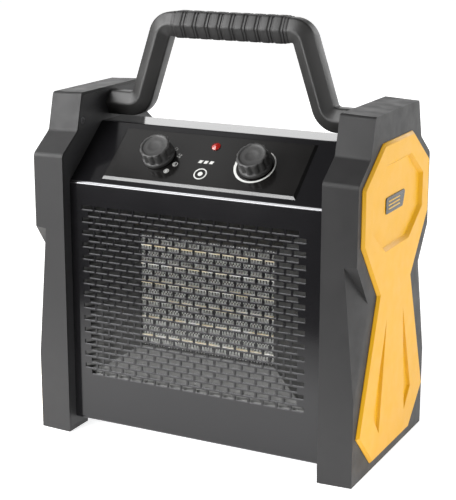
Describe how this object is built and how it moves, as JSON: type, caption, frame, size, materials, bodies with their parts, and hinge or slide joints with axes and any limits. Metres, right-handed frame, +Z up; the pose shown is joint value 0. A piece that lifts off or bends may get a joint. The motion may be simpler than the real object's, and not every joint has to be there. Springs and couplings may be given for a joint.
{
  "type": "ceramic fan heater",
  "caption": "Portable heater: slotted sheet-metal body between moulded end caps, sloping face with rotary knobs, U-shaped carrying handle, axial fan behind a finned ceramic element.",
  "frame": {"origin": "centre of the footprint, at floor level under the foot pads", "axes": "+Z up, front with the outlet slots towards -Y, right-hand end cap towards +X"},
  "size_m": [0.336, 0.186, 0.4077],
  "materials": {
    "cap_plastic": "fine satin texture, moulded polypropylene",
    "liner_plastic": "fine satin texture",
    "yellow_plastic": "smooth warm yellow, low gloss",
    "badge_plastic": "smooth",
    "foot_rubber": "matt",
    "screw_steel": "blackened zinc",
    "coated_sheet": "black powder coat, satin",
    "control_face": "satin",
    "knob_plastic": "satin",
    "gland_plastic": "satin nylon",
    "spindle_steel": "turned",
    "nut_steel": "bright zinc",
    "switch_plastic": "heat-resistant, ivory",
    "lamp_holder_plastic": "smooth",
    "lamp_red": "translucent red, polished",
    "copper": "bare copper",
    "handle_plastic": "satin texture",
    "grip_rubber": "soft, matt",
    "duct_steel": "galvanised",
    "frame_plastic": "glass-filled, heat-resistant",
    "bar_foil": "gold insulating film",
    "fin_aluminium": "bright foil",
    "impeller_plastic": "glass-filled",
    "rotor_metal": "die-cast cage on laminations",
    "lamination_steel": "stacked laminations",
    "bracket_metal": "die-cast",
    "wire_insulation": "silicone insulation"
  },
  "bodies": {
    "housing": {"left_cap": "cap_plastic", "right_cap": "cap_plastic", "left_liner": "liner_plastic", "right_liner": "liner_plastic", "left_side_panel": "yellow_plastic", "right_side_panel": "yellow_plastic", "left_badge": "badge_plastic", "right_badge": "badge_plastic", "foot_pads": "foot_rubber", "cap_screws": "screw_steel", "front_shell": "coated_sheet", "rear_panel": "coated_sheet", "base_plate": "coated_sheet", "left_end_plate": "coated_sheet", "right_end_plate": "coated_sheet", "rear_screws": "screw_steel", "control_panel": "control_face", "selector_switch": "switch_plastic", "selector_nut": "nut_steel", "thermostat_body": "switch_plastic", "thermostat_nut": "nut_steel", "capillary_tube": "copper", "sensor_bulb": "copper", "lamp_lens": "lamp_red", "lamp_holder": "lamp_holder_plastic", "handle_bar": "handle_plastic", "handle_grip": "grip_rubber", "left_handle_saddle": "handle_plastic", "right_handle_saddle": "handle_plastic", "handle_screws": "screw_steel", "air_duct": "duct_steel", "heater_frame": "frame_plastic", "heating_bars": "bar_foil", "heater_fins": "fin_aluminium", "thermal_cutout": "frame_plastic", "fan_shroud": "duct_steel", "motor_stator": "lamination_steel", "motor_coil": "copper", "front_bearing_bracket": "bracket_metal", "rear_bearing_bracket": "bracket_metal", "motor_spider": "duct_steel", "spider_screws": "screw_steel", "motor_bolts": "screw_steel", "terminal_block": "switch_plastic", "wiring": "wire_insulation", "cable_gland": "gland_plastic", "gland_nut": "gland_plastic"},
    "selector": {"selector_knob": "knob_plastic", "selector_spindle": "spindle_steel"},
    "thermostat": {"thermostat_knob": "knob_plastic", "thermostat_spindle": "spindle_steel"},
    "fan": {"impeller": "impeller_plastic", "impeller_nut": "nut_steel", "motor_shaft": "spindle_steel", "motor_rotor": "rotor_metal"}
  },
  "joints": [
    {"name": "selector_turn", "type": "hinge", "parent": "housing", "child": "selector", "pos_m": [-0.05, -0.05117, 0.27554], "axis": [0, 0.6322, -0.7748], "range_deg": [0, 97.5]},
    {"name": "thermostat_turn", "type": "hinge", "parent": "housing", "child": "thermostat", "pos_m": [0.05, -0.05117, 0.27554], "axis": [0, 0.6322, -0.7748], "range_deg": [0, 260]},
    {"name": "fan_spin", "type": "hinge", "parent": "housing", "child": "fan", "pos_m": [0, 0, 0.1455], "axis": [0, 1, 0], "continuous": true}
  ]
}
